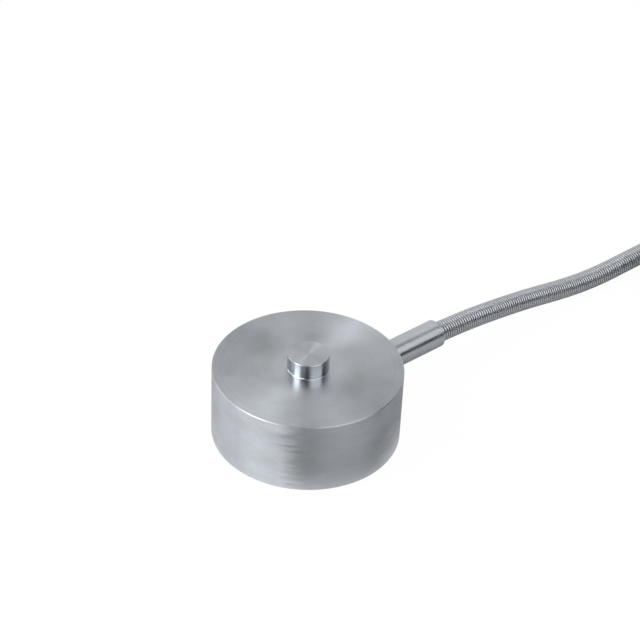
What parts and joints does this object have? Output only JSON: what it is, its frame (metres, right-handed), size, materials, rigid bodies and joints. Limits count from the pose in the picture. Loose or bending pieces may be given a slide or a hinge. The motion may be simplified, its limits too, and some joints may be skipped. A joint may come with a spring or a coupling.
{
  "type": "compression load cell",
  "caption": "Flat round steel load cell with a raised load button, tapped holes and a welded disc underneath, and an armoured cable that leaves its side through a sleeve.",
  "frame": {"origin": "centre of the base face, on the circle of tapped holes", "axes": "+Z is the load axis, out of the load button; +X runs along the cable where it leaves the body"},
  "size_m": [0.2214, 0.1027, 0.0249],
  "materials": {
    "body_steel": "fine-turned stainless steel, satin",
    "disc_steel": "matt stainless sheet with a heat-tinted weld ring",
    "outlet_steel": "polished stainless steel",
    "hose_steel": "bright drawn stainless wire, close wound",
    "ferrule_steel": "turned stainless steel",
    "seal_rubber": "black rubber",
    "cable_jacket": "matt grey-black cable jacket",
    "board": "green coated glass-fibre board",
    "pin_brass": "gilt solder pins",
    "gauge_foil": "amber film with a metal foil grid",
    "enamelled_wire": "enamelled copper wire",
    "resistor_body": "black chip with tinned ends",
    "tie_plastic": "black nylon",
    "core_red": "red core insulation",
    "core_black": "black core insulation",
    "core_green": "green core insulation",
    "core_white": "white core insulation"
  },
  "bodies": {
    "root": {"body": "body_steel", "sealing_disc": "disc_steel", "outlet_stub": "outlet_steel", "cable_sleeve": "outlet_steel", "port_seal": "seal_rubber", "signal_cable": "cable_jacket", "circuit_board": "board", "solder_pins": "pin_brass", "strain_gauge_1": "gauge_foil", "strain_gauge_2": "gauge_foil", "strain_gauge_3": "gauge_foil", "strain_gauge_4": "gauge_foil", "gauge_wires_1": "enamelled_wire", "gauge_wires_2": "enamelled_wire", "gauge_wires_3": "enamelled_wire", "gauge_wires_4": "enamelled_wire", "trim_resistor_1": "resistor_body", "trim_resistor_2": "resistor_body", "trim_resistor_3": "resistor_body", "inner_lead_1": "core_red", "inner_lead_2": "core_black", "inner_lead_3": "core_green", "inner_lead_4": "core_white", "hose_run": "hose_steel", "hose_coil": "hose_steel", "hose_tail": "hose_steel", "coil_tie_1": "tie_plastic", "coil_tie_2": "tie_plastic", "coil_tie_3": "tie_plastic", "end_ferrule": "ferrule_steel", "cable_end": "cable_jacket", "lead_red": "core_red", "lead_black": "core_black", "lead_green": "core_green", "lead_white": "core_white"}
  },
  "joints": []
}
